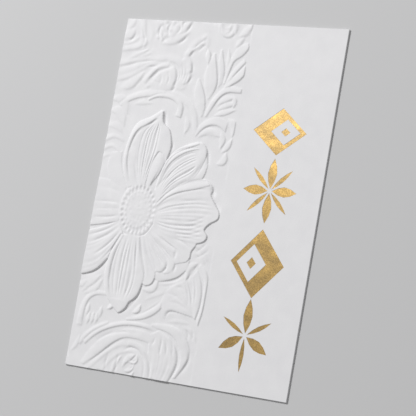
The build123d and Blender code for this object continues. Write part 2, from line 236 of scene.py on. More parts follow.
def top_scrolls():
    """The scrolling leaves over the flower, at the top left."""
    stem(
        [(7.4, -2), (8.7, 3.6), (9.4, 8), (8.7, 10.9), (5.2, 12.2), (-1, 13.3)],
        start_width=2.4, end_width=2.2, crown=0.42,
    )
    leaf([(8.8, 8), (10.6, 9.6), (10.4, 12)], width=2.4, crown=0.5)
    stem([(-1, 10.6), (4, 10), (7.4, 7.4)], start_width=1.4, end_width=1.0, crown=0.3)
    leaf([(-2.5, 8.2), (1.6, 7.3), (4.6, 4)], width=4.6, crown=0.38, belly=0.6)
    leaf([(0.6, 4.4), (2.4, 2.6), (4.4, -1)], width=2.4, crown=0.3)
    leaf([(3.4, 17.4), (7.6, 15.2), (11, 13.4), (14.4, 11.6)], width=2.2, crown=0.38)
    leaf([(6.6, 17.4), (11, 15.6), (15, 13.8)], width=1.9, crown=0.3)
    stem(
        [(-2, 20.0), (4, 18.5), (10, 17.2), (16.4, 16.2)],
        start_width=2.4, end_width=1.0, crown=0.32, end=0.3,
    )
    stem(
        [(-2, 23.8), (5, 21.8), (12, 18.9), (18, 16.9), (24, 15.7), (30, 16.6)],
        start_width=3.0, end_width=2.0, crown=0.3,
    )
    stem(
        [(-2, 26.2), (4, 24.9), (10, 22.0), (15, 19.3), (20, 18)],
        start_width=2.8, end_width=1.2, crown=0.3, end=0.3,
    )
    leaf([(1.4, 30.4), (6.4, 28.6), (9.9, 25.6), (13.4, 22)], width=3.8, crown=0.4)
    stem(
        [(13.8, 26.6), (16.2, 23.2), (19.4, 20.2), (24.4, 18.9)],
        start_width=2.2, end_width=1.6, crown=0.55,
    )
    petal(
        [(17.4, 30), (17.8, 26.4), (20.4, 22.6), (24.4, 20.6)],
        [(26.4, 30.2), (28.6, 28.4), (29.4, 25.4), (29.1, 22), (27.2, 19.4)],
        crown=0.5, veins=4, vein_depth=0.07, end=0.7,
    )
    leaf([(14.4, 29.4), (17, 27.4), (21.4, 26.6)], width=2.2, crown=0.3)
    petal(
        [(32.2, 12.6), (33.4, 10), (36, 7.4), (39.6, 5)],
        [(34.6, 12.6), (36.4, 11.4), (38.8, 9.2), (40.2, 5.6)],
        crown=0.36, veins=2, end=0.5,
    )
    petal(
        [(31.2, 15), (31.6, 13.4), (33, 11.6), (35.2, 10.8)],
        [(33.4, 15), (34, 14), (34.8, 12.8), (36.2, 11.4)],
        crown=0.56, end=0.7,
    )
    leaf([(36, 10.6), (38.8, 8.8), (41.4, 9.6)], width=1.7, crown=0.4)
    leaf([(37.6, 7.8), (40, 6), (42.2, 7)], width=1.7, crown=0.4)
    leaf([(40.4, 4.4), (41.4, 8), (40.8, 12.4)], width=1.6, crown=0.25)
    petal(
        [(30, 26), (31.8, 25.4), (33.6, 25.8), (34.9, 26.6)],
        [(29.6, 28.6), (31.4, 28.8), (33, 28.8), (34.2, 28.4)],
        crown=0.24, end=0.8,
    )
    petal(
        [(30.2, 20.6), (32.6, 20.4), (34.8, 21), (36.3, 22.4)],
        [(30.2, 26.4), (32, 26.4), (34, 26.4), (35.4, 25.2)],
        crown=0.6, end=1,
    )
    petal(
        [(29.6, 17.2), (31.2, 15.8), (33.2, 14.8), (35.2, 16.6)],
        [(30.2, 21.6), (32.4, 22), (34.6, 22), (36.2, 20.8)],
        crown=0.66, end=1,
    )
    stem(
        [(24.4, 16.4), (28.4, 16.8), (31.2, 19.2), (31.8, 23), (30.2, 28)],
        start_width=2.0, end_width=3.8, crown=0.46, veins=4, vein_depth=0.2, end=0.4,
    )
    leaf([(21, 6.8), (26.4, 3.9), (33, -1.6)], width=4.8, crown=0.42, veins=2)
    leaf([(18.6, 10), (25.2, 8.0), (32, 4.2)], width=3.4, crown=0.42, veins=1)
    leaf([(17, 2.2), (18.6, 5.4), (18.6, 9.8)], width=2.6, crown=0.45)
    leaf([(14.8, -1), (15.8, 2), (15.2, 5)], width=2.2, crown=0.25)
    for spot in (
        (17.2, 1.4), (19.6, 0.4), (20.8, 2.6), (23.4, 0.6), (22.4, 4), (25.2, 2.2),
        (27.4, 0.4), (18.6, 4.2), (16.6, 7.2), (20.4, 6.2), (23.8, 6), (26.6, 4.4),
    ):
        leaf(
            [(spot[0] - 0.8, spot[1] - 0.8), spot, (spot[0] + 0.7, spot[1] + 0.9)],
            width=1.5, crown=0.44,
        )
    leaf([(11.8, 2.6), (13.4, 5.4), (13.2, 9.4)], width=1.8, crown=0.18)
    stem(
        [(46.2, -2), (46.6, 2.4), (49, 5), (52.2, 4.4), (53.5, 1.8), (53, -2)],
        start_width=1.8, end_width=1.8, crown=0.5,
    )
    leaf([(47.8, 1), (49.4, 2.9), (51.4, 0.4)], width=2.6, crown=0.45)
    leaf([(55.6, 5.4), (58.8, 3.0), (62, -1)], width=3.2, crown=0.5)
    leaf([(54.9, 9.6), (56.6, 7.8), (58.4, 5.4)], width=2.4, crown=0.45)
    leaf([(37.6, -1), (39.4, 2), (42.6, 4)], width=2.4, crown=0.16)
    for line, width, depth in (
        ([(32.4, 0.4), (31.4, 2.6), (30.2, 4.4)], 1.1, 0.14),
        ([(30.8, 6.2), (29.6, 8), (26.8, 9.7)], 1.1, 0.14),
        ([(14.6, 29), (17.6, 25.6), (20.6, 21.8), (24.6, 20)], 0.9, 0.08),
        ([(9, 30.4), (10.6, 27.6), (13, 25)], 1.1, 0.18),
        ([(29.6, 26.8), (28.8, 28.8), (27, 30.2)], 1.0, 0.2),
        ([(0, 21), (5, 19.9), (10, 18.3)], 1.1, 0.18),
        ([(0, 27.2), (2.6, 27), (5.4, 26.2)], 1.1, 0.11),
        ([(21, 24), (21.6, 25.6), (21.4, 27.6)], 0.9, 0.14),
        ([(23.2, 22.4), (24, 24.6), (23.6, 27.4)], 0.9, 0.11),
    ):
        groove(line, width, depth)


def branch():
    """The stem over the flower, the curled leaves along it, and crisp folds in the scrolls above."""
    leaf([(11, 36.4), (15, 35.4), (20, 35.6)], width=2.0, crown=0.3)
    leaf([(-1.5, 35.2), (4.4, 34.9), (8.2, 41)], width=4.2, crown=0.4, veins=1, belly=0.6)
    leaf([(-1.5, 40.2), (4.0, 40.0), (7.8, 46.4)], width=4.2, crown=0.36, veins=2, belly=0.6)
    leaf([(-1.5, 46.6), (3.6, 46), (7.6, 49)], width=2.8, crown=0.26)
    stem([(-1, 52.6), (4, 50.6), (9, 52.4)], start_width=2.0, end_width=1.0, crown=0.3)
    stem([(-1, 56.6), (3.8, 54.7), (8.2, 57.4)], start_width=1.8, end_width=1.0, crown=0.28)
    stem([(-1, 60.4), (3, 58.6), (7, 60.6)], start_width=1.4, end_width=0.8, crown=0.18)
    stem(
        [(4, 37), (8, 34.2), (14, 32), (21, 31.2), (27, 31.3)],
        start_width=2.0, end_width=3.2, crown=0.5,
    )
    stem(
        [(25.4, 31.2), (32, 31.8), (37.4, 34.6), (41.2, 39.2), (42.9, 46.8)],
        start_width=3.2, end_width=1.8, crown=0.4, end=0.5,
    )
    stem(
        [(17.6, 34.0), (21.4, 32.2), (27, 31.9), (31.6, 33.4), (33.9, 36.4), (33.4, 40.2)],
        start_width=1.0, end_width=2.7, crown=0.66, end=0.8,
    )
    leaf([(37.2, 40), (38.6, 43.2), (37.8, 47.2)], width=2.4, crown=0.4)
    for line in (
        [(32.2, 0.4), (31.2, 2.6), (30.4, 4.2)],
        [(30.6, 6.4), (29.4, 8), (27, 9.6)],
        [(35.4, 12.4), (34.8, 13.4), (34, 14.8)],
        [(35.2, 17.2), (36.3, 19.2), (36.4, 21.4)],
        [(36.4, 23), (36, 24.6), (35.2, 25.9)],
        [(15.6, 25.9), (18.2, 23.4), (20.4, 20.9)],
        [(52.8, 2.6), (53.3, 4.4), (52.2, 5.8)],
        [(48.2, 0.8), (49, 2.8), (51, 2.8)],
        [(61.8, 0.4), (61.2, 2.4), (59.8, 3.8)],
        [(58.3, 6.2), (57.9, 7.8), (56.8, 9.2)],
    ):
        groove(line, width=1.0, depth=0.24)
    for line in (
        [(46.4, 1.4), (46.8, 3.8), (48.6, 5.8), (51.4, 6.3)],
        [(31, 18.4), (32, 21.4), (31.6, 24.6)],
        [(32.6, 17.6), (33.6, 21), (33.2, 25)],
        [(21.4, 23.2), (22.2, 25.4), (21.6, 28)],
        [(7.4, 14.2), (11, 13), (14.6, 11.8)],
        [(10, 18.6), (14, 17.8), (18.6, 17.2)],
        [(13.4, 20.6), (16, 20), (19, 19.9)],
        [(33.8, 19.6), (34.5, 23), (33.9, 27)],
        [(29.8, 19.4), (30.8, 22.6), (30.3, 26)],
        [(24.8, 22), (25.8, 24.6), (25.2, 27.6)],
        [(40.2, 6.8), (37.6, 9.2), (34.8, 11.6)],
        [(40.4, 9.2), (38.8, 11), (37.2, 12.4)],
    ):
        groove(line, width=0.8, depth=0.26)
    for line in (
        [(19, 4.8), (19.3, 7.2), (21.2, 8.8)],
        [(22.2, 1), (21, 3.6), (22.4, 6.4)],
        [(26.6, 1.2), (26.8, 3.8), (24.8, 6)],
        [(17.6, 2), (16.8, 4.4), (17.2, 7)],
        [(8.4, 4.4), (9.9, 7.2), (10.6, 10)],
        [(1.4, 8.8), (3.6, 8.8), (5.2, 6.4)],
        [(41.6, 31.2), (42.1, 32.8), (41.2, 34.2)],
        [(27.4, 18.8), (29.1, 22), (29.3, 26), (28, 29.4)],
        [(30.4, 0.6), (28.2, 0.8), (28.4, 3)],
    ):
        groove(line, width=0.9, depth=0.34)
    leaf([(40.2, 30.6), (41.0, 32.2), (41.2, 34.2)], width=2.0, crown=0.74)


def palmette():
    """The spray of leaves at the upper right of the panel."""
    leaf([(42, 11), (42.9, 14), (43.4, 17.8)], width=2.2, crown=0.66)
    petal(
        [(44.3, 39.6), (41.4, 35), (39.4, 30), (39.8, 24.2)],
        [(45.1, 38.8), (45.3, 34.6), (43.7, 29.4), (40.5, 23.8)],
        crown=0.6, veins=1, end=0.6,
    )
    petal(
        [(46.0, 32), (43.9, 27), (42.9, 21.4), (45.2, 13)],
        [(46.9, 31.6), (49.1, 26.4), (48.5, 21.6), (46, 13)],
        crown=0.6, veins=3, vein_depth=0.1, end=0.6,
    )
    petal(
        [(49.8, 27), (49.6, 21), (48.4, 16.4), (48.3, 11.4)],
        [(51.6, 25), (51.7, 20.4), (50.7, 16.4), (49, 11.2)],
        crown=0.5,
    )
    leaf([(52.7, 24.4), (53.1, 17.6), (51.9, 10.4)], width=1.9, crown=0.4)
    petal(
        [(52.0, 25.4), (52.9, 18.6), (54.6, 12.8), (57.4, 9.2), (60.6, 7.8)],
        [(52.8, 25.4), (54.3, 19.4), (55.8, 15.4), (58.6, 13.4), (61.5, 9.8)],
        crown=0.56, veins=1, end=1,
    )
    petal(
        [(52.9, 26.6), (54.4, 21.8), (57, 17.8), (60, 14.6)],
        [(53.6, 26.6), (55.9, 22.4), (58.3, 19.2), (61, 15.8)],
        crown=0.5,
    )
    petal(
        [(51.9, 28.6), (54.6, 24.2), (58, 20.6), (61, 17.2)],
        [(52.6, 28.9), (55.6, 26), (59.2, 23.6), (62.0, 20.4)],
        crown=0.6, end=1,
    )
    leaf([(51, 34.4), (54.4, 31.5), (59, 30.8)], width=2.6, crown=0.45, veins=1)
    leaf([(51.4, 36.4), (55.4, 34.1), (60.4, 33)], width=2.2, crown=0.42)
    leaf([(50.4, 38.8), (55, 37), (60.2, 35.6)], width=2.4, crown=0.45)
    leaf([(58, 30), (59, 32.2), (58.6, 35)], width=1.8, crown=0.45)
    petal(
        [(46.0, 39.3), (47.2, 34.6), (49.8, 30.2), (53, 27.2), (57, 26.2), (61.9, 27)],
        [(46.9, 39.3), (49.6, 34.2), (51.6, 31.2), (54, 29.2), (57.4, 28.5), (61.9, 28.7)],
        crown=0.6, end=0.9,
    )
    petal(
        [(43.0, 47), (45, 42.8), (48.6, 40.2), (53, 39.2), (57.6, 41)],
        [(43.6, 47.6), (46.4, 44.4), (50.2, 42.6), (54, 43), (57, 45)],
        crown=0.5, veins=2,
    )
    leaf([(44.4, 48.2), (49, 45.4), (55.8, 47.4)], width=3.0, crown=0.4, veins=1)
    groove([(45, 46), (49, 43.6), (54.4, 43.8)], width=0.9, depth=0.14)
    groove([(46, 48), (50.4, 46.2), (55, 46.6)], width=0.9, depth=0.12)
    leaf([(57.4, 39.6), (60.4, 41.8), (60.5, 47)], width=2.8, crown=0.5)
    leaf([(55.2, 45), (56.4, 48.2), (56, 52)], width=2.6, crown=0.48)
    leaf([(56.8, 53.6), (59, 51.2), (61, 47.2)], width=2.4, crown=0.48)
    leaf([(55.6, 58.4), (58.4, 57), (59.2, 53.2)], width=3.0, crown=0.5)


def lower_leaves():
    """The leaves between the flower and the great scroll below it."""
    leaf([(-2, 114.4), (4, 113.2), (10.2, 108.8)], width=3.2, crown=0.34, veins=1)
    leaf([(3, 117.6), (8, 114.8), (11, 110.6)], width=2.6, crown=0.34, veins=1)
    stem(
        [(14, 116.6), (9, 116.9), (5.3, 119.4), (3.6, 124.4), (3.4, 131)],
        start_width=1.4, end_width=2.6, crown=0.48,
    )
    for spot in ((7.4, 127.6), (9.4, 127.4), (11.4, 127), (6.4, 124), (12.8, 124.6)):
        leaf([(spot[0] - 0.5, spot[1] + 2.6), spot, (spot[0] + 0.3, spot[1] - 2.6)], width=1.7, crown=0.4)
    leaf([(1.6, 117), (3.4, 114.6), (4.6, 111.6)], width=2.0, crown=0.25)
    petal(
        [(25.6, 125.6), (33.6, 121.4), (39.4, 117), (43, 114.6)],
        [(26.4, 126), (34.4, 124.4), (40.6, 120.4), (43.6, 115.4)],
        crown=0.5, veins=2, end=0.5,
    )
    groove([(28.6, 124.2), (34, 121.8), (39.4, 118), (42, 115.4)], width=1.0, depth=0.34)
    leaf([(28.4, 122.6), (30.6, 121.4), (31.6, 119)], width=2.2, crown=0.6)
    leaf([(15.8, 122.6), (17.6, 121.4), (18.2, 119.4)], width=1.8, crown=0.62)
    leaf([(31, 112.6), (35.8, 112), (38, 107.4)], width=2.6, crown=0.4)
    leaf([(33, 117), (38.4, 113.8), (44, 112)], width=2.0, crown=0.2)
    petal(
        [(43.4, 122.8), (41.4, 116.6), (43.8, 111), (51.6, 106.6)],
        [(44.0, 123.2), (45.2, 120.2), (50, 119.8), (57.6, 121)],
        crown=0.44, veins=3, vein_depth=0.07,
    )
    groove([(43.6, 123.4), (44.7, 120.9), (46.4, 119.9), (50.4, 120.3)], width=1.0, depth=0.25)
    petal(
        [(53.6, 105), (55.4, 111), (55.8, 116), (57.2, 121)],
        [(55.6, 102), (58.1, 107), (59.3, 112.4), (59.2, 117), (58.3, 121.6)],
        crown=0.6, veins=1,
    )
    petal(
        [(56, 100.6), (59.2, 104.8), (60.2, 110), (60.1, 116), (59.2, 121.4)],
        [(56.6, 99.4), (60.2, 103), (61.6, 109.4), (61.5, 116), (60, 124)],
        crown=0.62,
    )
    leaf([(55.2, 99), (52.2, 101.4), (50.6, 107)], width=3.0, crown=0.5)
    for line in (
        [(41.6, 112.8), (47, 113.4), (53.4, 117)],
        [(44, 116.4), (49, 116.4), (55.4, 119.2)],
        [(47.4, 109.2), (51.4, 112.4), (54.6, 118)],
        [(51.6, 107), (54.2, 111.6), (55.8, 117.6)],
        [(39, 110.4), (43, 109.8), (47, 108)],
    ):
        groove(line, width=0.9, depth=0.16)
    stem([(52, 92), (55.6, 93.4), (59, 97.6)], start_width=1.4, end_width=1.0, crown=0.22)
    stem([(52.4, 95), (55.4, 96), (57.8, 99)], start_width=1.2, end_width=1.0, crown=0.2)
    groove([(50.4, 107.2), (52.8, 111.4), (54, 116)], width=0.9, depth=0.26)
    groove([(53.8, 104.6), (56.1, 109.4), (56.8, 115)], width=0.9, depth=0.3)
    groove([(46.8, 110.2), (49.4, 109.8), (51.4, 111.4)], width=0.9, depth=0.2)


def great_scroll():
    """The scroll that runs off the bottom edge, round a small rose."""
    petal(
        [(38.6, 130.6), (39, 135), (39.6, 140), (40.2, 151)],
        [(42.6, 128.4), (49.2, 131.8), (52.9, 137.4), (52.4, 143.6), (48.8, 151)],
        crown=0.56, veins=7, vein_depth=0.18, end=1,
    )
    petal(
        [(38, 127.4), (48.6, 129.2), (53.6, 134.4), (55, 140), (52.6, 146)],
        [(39, 126), (50.4, 126.2), (56.6, 131), (58.2, 137.4), (53.8, 146)],
        crown=0.56, veins=2, vein_depth=0.08,
    )
    stem(
        [(5, 138.2), (8.6, 133.6), (12.6, 130.6), (17.4, 128.2)],
        start_width=1.8, end_width=1.2, crown=0.45,
    )
    stem(
        [(7.4, 137.6), (12.4, 132.9), (19, 129.4), (26, 127.5), (34, 127.2), (41, 128.2)],
        start_width=1.8, end_width=1.4, crown=0.55, end=0.2,
    )
    petal(
        [(7.6, 146), (12.4, 138.4), (19.4, 132.6), (27, 129.8), (34, 129.4), (40.6, 130.6)],
        [(9, 146.6), (15.8, 141.2), (20.6, 136.8), (25.6, 133.6), (31.4, 132.9), (40.2, 134)],
        crown=0.46, veins=1, vein_depth=0.08, end=0.5,
    )
    stem(
        [(8, 151), (13.6, 145.4), (19.4, 139.6), (25.4, 135.9), (31, 135.3)],
        start_width=1.8, end_width=2.2, crown=0.2,
    )
    stem(
        [(29, 135.3), (33.6, 135.8), (37.6, 138.2), (39.8, 142.6), (40.2, 151)],
        start_width=2.0, end_width=2.6, crown=0.46,
    )
    stem(
        [(16, 151), (19.6, 145.6), (24, 140.6), (29.4, 138.2), (34, 139), (37, 143), (37.6, 151)],
        start_width=1.4, end_width=1.4, crown=0.2,
    )
    leaf([(23.2, 149.4), (24.2, 144.6), (27, 140.6)], width=1.8, crown=0.36)
    leaf([(28.2, 145), (29.6, 142), (33.6, 139.2)], width=2.4, crown=0.5, belly=0.6)
    leaf([(30.6, 142.6), (33.8, 142), (34.4, 139)], width=1.9, crown=0.55)
    leaf([(29.4, 146.6), (31.8, 145.8), (33.6, 143)], width=1.9, crown=0.5)
    leaf([(29.4, 149.6), (32.2, 148.8), (34, 146.2)], width=2.0, crown=0.45)
    leaf([(53, 125.6), (57.4, 126.6), (60.6, 130.8)], width=1.8, crown=0.25)
    leaf([(45.4, 124.4), (50.2, 123.4), (56, 123.8)], width=1.6, crown=0.22)
    leaf([(1.4, 142), (3.6, 139), (4.8, 135)], width=1.8, crown=0.3)
    for line, width, depth in (
        ([(12, 145), (16.4, 141.2), (20.6, 137.6), (26, 134)], 1.2, 0.25),
        ([(38, 138.4), (40.6, 142), (41.7, 147.6)], 1.2, 0.42),
        ([(25.4, 140.6), (24.9, 144), (24.9, 147.6)], 1.1, 0.34),
        ([(40.9, 131.4), (41, 132.8), (40.4, 134.4)], 0.9, 0.34),
        ([(44.4, 131), (44.8, 134), (44.6, 137.6)], 0.9, 0.36),
        ([(46.6, 132), (47.6, 135), (47.8, 138)], 0.9, 0.32),
        ([(49, 131), (50.4, 134), (50.8, 137.4)], 0.9, 0.26),
        ([(20.4, 140.6), (19.7, 144), (20.2, 147.8)], 0.9, 0.24),
        ([(13.6, 136), (19, 132.8), (25.6, 131), (33, 130.8)], 1.0, 0.26),
        ([(27, 138.8), (30.4, 136.8), (35, 137.4)], 0.9, 0.26),
        ([(30.2, 140.2), (31.4, 141.8), (33.4, 142.2), (34.5, 140.4)], 0.9, 0.34),
        ([(31.6, 145.6), (32.9, 144.6), (33, 143.2)], 0.9, 0.34),
        ([(55.2, 126.2), (56.2, 128), (56.4, 130)], 0.9, 0.26),
        ([(57.8, 125.8), (58.6, 128), (58.4, 130.4)], 0.9, 0.22),
        ([(52.2, 134), (53.4, 139), (52.8, 143.6), (50.4, 148)], 1.4, 0.29),
        ([(56.4, 132), (58.6, 137.2), (57.6, 141), (54.6, 145)], 1.2, 0.25),
    ):
        groove(line, width, depth)


def flower_petals():
    """The open flower, its back petals first and its long front petals last."""
    petal(
        [(14, 73), (7, 70), (3.4, 64), (4, 57.6)],
        [(14.4, 71.4), (12, 67), (9.9, 62), (9.2, 57)],
        crown=0.28, veins=2, vein_depth=0.05,
    )
    petal(
        [(14.8, 73), (8, 70), (2, 69), (-3, 69)],
        [(13.6, 78), (7, 76.6), (1, 76), (-3, 76)],
        crown=0.3, veins=2, vein_depth=0.05,
    )
    petal(
        [(13.6, 76.4), (7, 75.6), (1, 75.6), (-3, 75.6)],
        [(13.6, 86), (8.6, 87.4), (3, 88.6), (-3, 89.6)],
        crown=0.6, veins=5, vein_depth=0.1,
    )
    petal(
        [(33, 72), (40, 66), (45, 60), (47, 55)],
        [(33, 76), (40, 71.4), (46, 67.6), (50, 66)],
        crown=0.6, veins=2,
        tip=[(48.6, 54), (50.9, 56.6), (51.5, 60), (50.9, 63.4), (49.4, 66.2)],
    )
    petal(
        [(33, 92), (41, 95), (47, 98)],
        [(27, 91), (30.4, 99), (35, 106)],
        crown=0.48, veins=3, vein_depth=0.06,
        tip=[
            (51, 98.4), (50.6, 101.4), (49.6, 103.2), (46.6, 105.8), (42.4, 107.6), (38.2, 108.4),
            (36, 107.4),
        ],
    )
    petal(
        [(28.4, 72), (29.8, 65.4), (32.2, 58.4), (36.2, 53.8), (43, 51)],
        [(31.2, 76.6), (35.8, 71.6), (40.6, 67.6), (45.4, 65.6)],
        crown=0.8, end=0.95,
        tip=[
            (45, 50.2), (48, 50.7), (50, 53.2), (50.2, 55.8), (49.3, 58.8), (48.2, 61.6),
            (47, 63.8), (45.8, 65.6),
        ],
    )
    petal(
        [(29.6, 71), (31.6, 64.4), (34.4, 59.4), (38.6, 55.6), (43, 53.6), (46.8, 53.4)],
        [(32, 75.2), (36.4, 70.2), (41, 67), (45, 64.4), (47.2, 61.4)],
        crown=0.78, veins=8, vein_depth=0.46, shoulder=0.9, start=0.8, end=1,
    )
    petal(
        [(29.6, 69), (31.4, 61.6), (34.2, 57), (38, 54.3), (42, 53), (46, 52.7)],
        [(30.8, 68), (32.4, 62.4), (35.2, 58.4), (39.2, 55.5), (42.6, 54), (46, 53)],
        crown=0.84, end=0.9,
    )
    petal(
        [(28.9, 70), (30.2, 64), (32.4, 58), (36.4, 53.8), (42.6, 51.1), (45.8, 50.4)],
        [(29.9, 69.6), (31.3, 63), (33.3, 58), (37.4, 54.6), (42.4, 52.5), (46, 51)],
        crown=0.92, end=0.9,
    )
    petal(
        [(29.4, 88.6), (36, 91.6), (41, 95), (43.2, 97)],
        [(27.6, 91), (30.4, 96), (34.6, 101), (38, 104)],
        crown=0.62, veins=3, vein_depth=0.12, end=1,
        tip=[(43.9, 96.6), (44.4, 99), (44.2, 102), (42.8, 104.2), (40.6, 105), (38, 104.6)],
    )
    petal(
        [(28.8, 89.6), (33.4, 93.4), (37.4, 97.4), (39.2, 100)],
        [(26.8, 91.4), (29.6, 97), (32.6, 101.4), (35.6, 104.6)],
        crown=0.82, veins=3, vein_depth=0.14, end=1,
        tip=[(39.6, 99.8), (40.3, 101.4), (40.1, 103.2), (38.6, 104.5), (36, 104.8)],
    )
    petal(
        [(30.8, 86), (37, 89), (44, 90.6), (50, 91)],
        [(29.2, 89), (33, 92), (38, 94.8), (43.4, 96)],
        crown=0.84, veins=4, vein_depth=0.12, end=0.95,
        tip=[
            (53.2, 90.6), (52.3, 93), (51.1, 95), (50.9, 97.6), (49.4, 99.3), (46.6, 100.1),
            (44.5, 100.5), (43.8, 98.6), (43.6, 96.4),
        ],
    )
    petal(
        [(31, 76.6), (35.6, 71.6), (41.6, 68), (47.6, 65.6), (51, 65.4)],
        [(31, 86.4), (37, 89.4), (43, 90.6), (50, 91.2)],
        crown=0.88, veins=13, vein_depth=0.32, veins_from=0.2, sweep=0.09, end=0.95,
        tip=[
            (52.2, 65.2), (55.4, 67.6), (55.9, 69.6), (55.6, 71), (57.6, 74), (59.6, 76.4),
            (61.0, 78.6), (60.7, 80.6), (58.4, 82.2), (56.8, 83.4), (55.4, 85.6), (56.6, 87.2),
            (57.2, 88.6), (55.8, 90.4), (53, 91.4),
        ],
    )
    petal(
        [(31, 77), (35.4, 72), (41.4, 68.4), (47.6, 66.2), (52.6, 65.6)],
        [(31, 78), (36, 73.6), (41.6, 71.1), (47.6, 69.6), (54.4, 67.4)],
        crown=0.95, veins=1, vein_depth=0.08, end=0.8,
    )
    petal(
        [(13.6, 86), (8.6, 88.4), (3, 90.4), (-3, 92)],
        [(17.2, 91.4), (14.8, 97), (11, 102.8), (5.8, 107.8), (-3, 110.4)],
        crown=0.84, veins=8, vein_depth=0.14, end=1,
    )
    petal(
        [(25.2, 91.4), (27.6, 98), (29.6, 103.6), (30.4, 108)],
        [(28, 90.6), (32.6, 97), (35.6, 102.6), (36, 106)],
        crown=0.72, veins=2, vein_depth=0.14, end=0.95,
        tip=[(30.2, 109.2), (31.4, 110.7), (33.4, 110.8), (35.2, 109.6), (36, 107.4), (35.9, 105.4)],
    )
    petal(
        [(16.2, 91.2), (13, 98), (11.6, 105), (12.2, 112), (15, 118), (21.2, 123.6)],
        [
            (25.8, 91.4), (28.4, 99), (30.7, 106.6), (30.2, 112.4), (28.6, 116.4), (25.8, 118.9),
            (24.6, 121.4), (22.3, 123.4),
        ],
        crown=0.88, end=0.95,
    )
    petal(
        [(17.6, 91.6), (15.4, 98), (14.4, 105), (14.9, 112), (17, 118)],
        [(25.4, 91.6), (27, 99), (28.2, 106.6), (27.6, 112.6), (25.4, 118)],
        crown=0.8, veins=7, vein_depth=0.46, shoulder=0.92, start=0.8, end=1,
    )
    petal(
        [(16.4, 91.2), (13.1, 98), (11.7, 105), (12.3, 112), (14.8, 117.4)],
        [(17.6, 91.6), (15.2, 98), (14.1, 105), (14.4, 112), (16, 117)],
        crown=0.98, end=0.7,
    )
    petal(
        [(15.4, 71.6), (12.2, 66), (10.7, 59), (11.6, 51), (14.6, 44.4), (19.4, 41.9), (25, 38.3)],
        [
            (25, 70.4), (28.8, 65.4), (31.4, 59.4), (32.8, 54), (32.2, 50), (30.4, 46),
            (27.5, 43.8), (26.1, 38.6),
        ],
        crown=0.86, end=0.9,
    )
    petal(
        [(17.4, 71), (14.6, 64), (13.2, 58), (14.2, 51), (16.6, 47), (20, 44.6), (23.6, 42)],
        [(24.6, 70.6), (25.8, 64), (27.4, 57.6), (27.8, 52), (27.4, 47.6), (26.6, 44.4), (25.6, 42)],
        crown=0.8, shoulder=0.92, start=0.8, end=1,
    )
    petal(
        [(20, 70.4), (18, 64), (16.6, 58), (16.4, 52), (17.6, 47.6), (20.4, 45), (23.6, 42.4)],
        [(23.6, 70.4), (24.8, 64), (26.6, 57.6), (27.4, 52), (27.2, 47.6), (26.6, 44.4), (25.4, 42.4)],
        crown=0.82, veins=7, vein_depth=0.5, shoulder=0.94, start=0.9, end=1,
    )
    petal(
        [(15.8, 71.4), (12.4, 66), (10.8, 59), (11.7, 51), (14.8, 44.5), (19.4, 42), (25, 38.3)],
        [(17, 71), (13.8, 64.6), (12.4, 58.4), (13.6, 50.8), (16, 46.6), (20, 44.3), (25.6, 39.6)],
        crown=0.98, end=0.7,
    )
    petal(
        [(23.6, 71), (24.2, 65), (25.2, 60), (27.4, 55.6)],
        [(25.6, 71), (27.9, 65.4), (29.9, 60.6), (29.4, 56)],
        crown=0.96, veins=1, vein_depth=0.1, end=0.7,
    )
